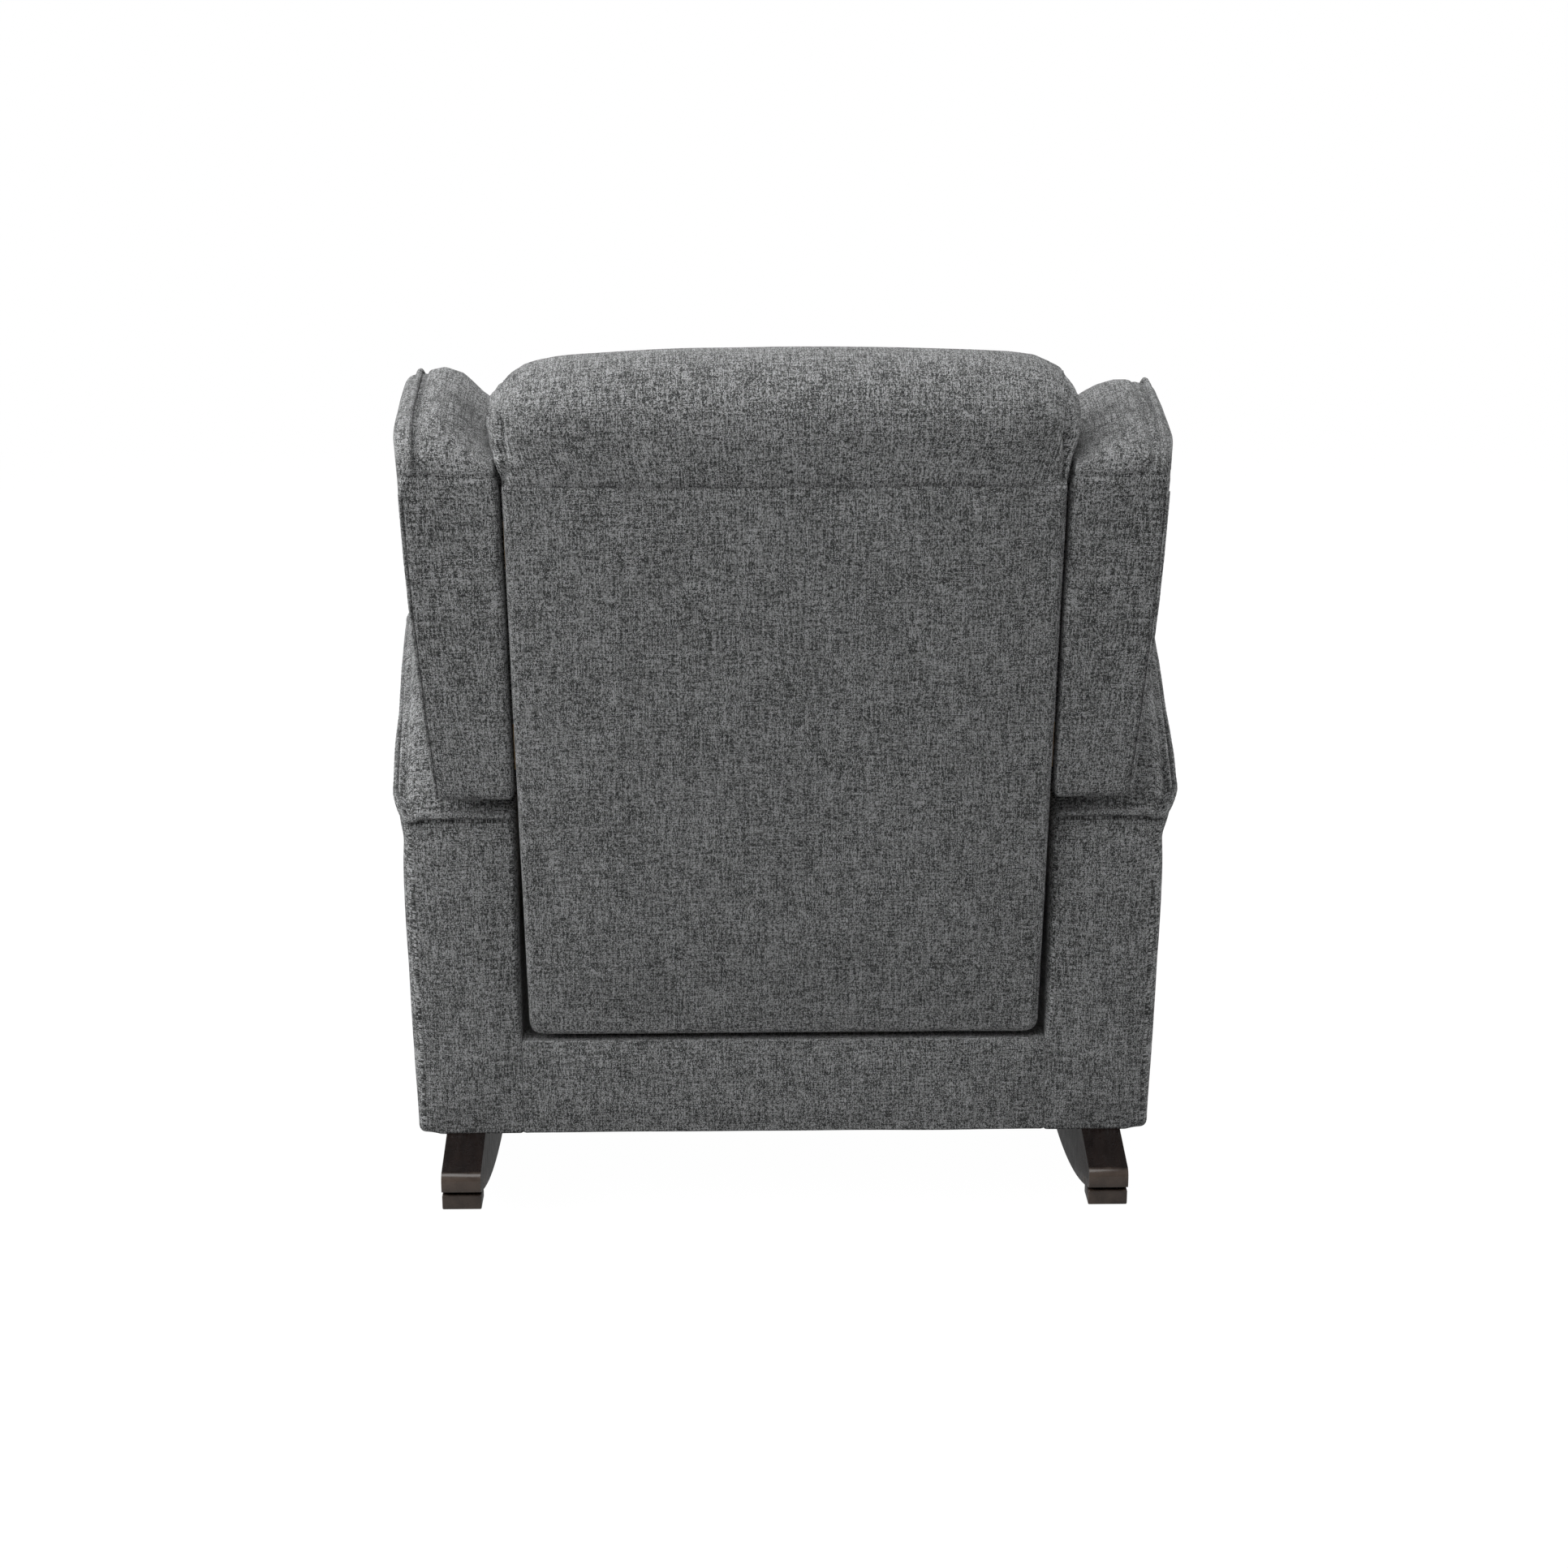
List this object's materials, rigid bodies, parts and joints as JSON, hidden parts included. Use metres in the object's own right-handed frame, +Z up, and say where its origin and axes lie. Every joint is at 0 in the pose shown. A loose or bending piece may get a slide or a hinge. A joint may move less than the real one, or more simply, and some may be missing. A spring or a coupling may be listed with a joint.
{
  "type": "rocking chair",
  "caption": "Upholstered wing chair on wooden rockers; the separate back tilts rearward and swings a footrest out through a coupled steel linkage.",
  "frame": {"origin": "on the floor, in the middle of the overall width and depth", "axes": "+Z up, the chair faces -Y, +X is the sitter's left"},
  "size_m": [0.85, 0.824, 0.949],
  "materials": {
    "upholstery": "heathered grey linen-look plain weave, matte",
    "rocker_wood": "espresso stain under gloss lacquer, worn on the nose",
    "frame_timber": "plain sawn hardwood and plywood",
    "steel": "zinc-plated pressed steel",
    "webbing": "woven jute webbing"
  },
  "bodies": {
    "chassis": {"rocker_left": "rocker_wood", "rocker_right": "rocker_wood", "stop_block_left": "rocker_wood", "stop_block_right": "rocker_wood", "rocker_bolts": "steel", "arm_frame_left": "frame_timber", "arm_frame_right": "frame_timber", "arm_outside_panel_left": "upholstery", "arm_outside_panel_right": "upholstery", "arm_inside_pad_left": "upholstery", "arm_inside_pad_right": "upholstery", "arm_top_pad_left": "upholstery", "arm_top_pad_right": "upholstery", "arm_front_pad_left": "upholstery", "arm_front_pad_right": "upholstery", "arm_rear_panel_left": "upholstery", "arm_rear_panel_right": "upholstery", "rear_rail": "frame_timber", "rear_rail_panel": "upholstery", "front_seat_rail": "frame_timber", "rear_seat_rail": "frame_timber", "seat_side_rail_left": "frame_timber", "seat_side_rail_right": "frame_timber", "corner_blocks": "frame_timber", "seat_springs": "steel", "seat_cushion": "upholstery", "mechanism_plate_left": "steel", "mechanism_plate_right": "steel", "pivot_pins": "steel"},
    "back": {"back_stile_left": "frame_timber", "back_stile_right": "frame_timber", "back_top_rail": "frame_timber", "back_lumbar_rail": "frame_timber", "back_bottom_rail": "frame_timber", "back_webbing": "webbing", "wing_rail_left": "frame_timber", "wing_rail_right": "frame_timber", "back_panel": "upholstery", "back_cushion": "upholstery", "back_roll": "upholstery", "back_bracket_left": "steel", "back_bracket_right": "steel", "wing_frame_left": "frame_timber", "wing_frame_right": "frame_timber", "wing_inside_pad_left": "upholstery", "wing_inside_pad_right": "upholstery", "wing_outside_pad_left": "upholstery", "wing_outside_pad_right": "upholstery"},
    "drive_rods": {"drive_rods": "steel"},
    "lower_links": {"footrest_lower_links": "steel"},
    "guide_links": {"footrest_guide_links": "steel"},
    "upper_links": {"footrest_upper_links": "steel"},
    "tilt_links": {"footrest_tilt_links": "steel"},
    "footrest": {"footrest_brackets": "steel", "footrest_board": "frame_timber", "footrest_pad": "upholstery"}
  },
  "joints": [
    {"name": "back_recline", "type": "hinge", "parent": "chassis", "child": "back", "pos_m": [0, 0.29, 0.335], "axis": [-1, 0, 0], "range_deg": [0, 35]},
    {"name": "rod_swing", "type": "hinge", "parent": "back", "child": "drive_rods", "pos_m": [0, 0.29994, 0.2786], "axis": [-1, 0, 0], "range_deg": [-38.5, 0]},
    {"name": "lower_link_swing", "type": "hinge", "parent": "chassis", "child": "lower_links", "pos_m": [0, -0.197, 0.312], "axis": [-1, 0, 0], "range_deg": [0, 115.5]},
    {"name": "guide_link_swing", "type": "hinge", "parent": "chassis", "child": "guide_links", "pos_m": [0, -0.1394, 0.2952], "axis": [-1, 0, 0], "range_deg": [0, 115.5]},
    {"name": "upper_link_swing", "type": "hinge", "parent": "lower_links", "child": "upper_links", "pos_m": [0, -0.09949, 0.17274], "axis": [-1, 0, 0], "range_deg": [-115.5, 0]},
    {"name": "tilt_link_swing", "type": "hinge", "parent": "lower_links", "child": "tilt_links", "pos_m": [0, -0.07368, 0.13588], "axis": [-1, 0, 0], "range_deg": [-118, 0]},
    {"name": "footrest_tilt", "type": "hinge", "parent": "upper_links", "child": "footrest", "pos_m": [0, -0.313, 0.235], "axis": [-1, 0, 0], "range_deg": [0, 88.5]}
  ],
  "couplings": [
    {"joint": "rod_swing", "follows": "back_recline", "ratio": -1.0773},
    {"joint": "lower_link_swing", "follows": "back_recline", "ratio": 3.2857},
    {"joint": "guide_link_swing", "follows": "back_recline", "ratio": 3.2857},
    {"joint": "upper_link_swing", "follows": "back_recline", "ratio": -3.2857},
    {"joint": "tilt_link_swing", "follows": "back_recline", "ratio": -3.3471},
    {"joint": "footrest_tilt", "follows": "back_recline", "ratio": 2.5143}
  ]
}
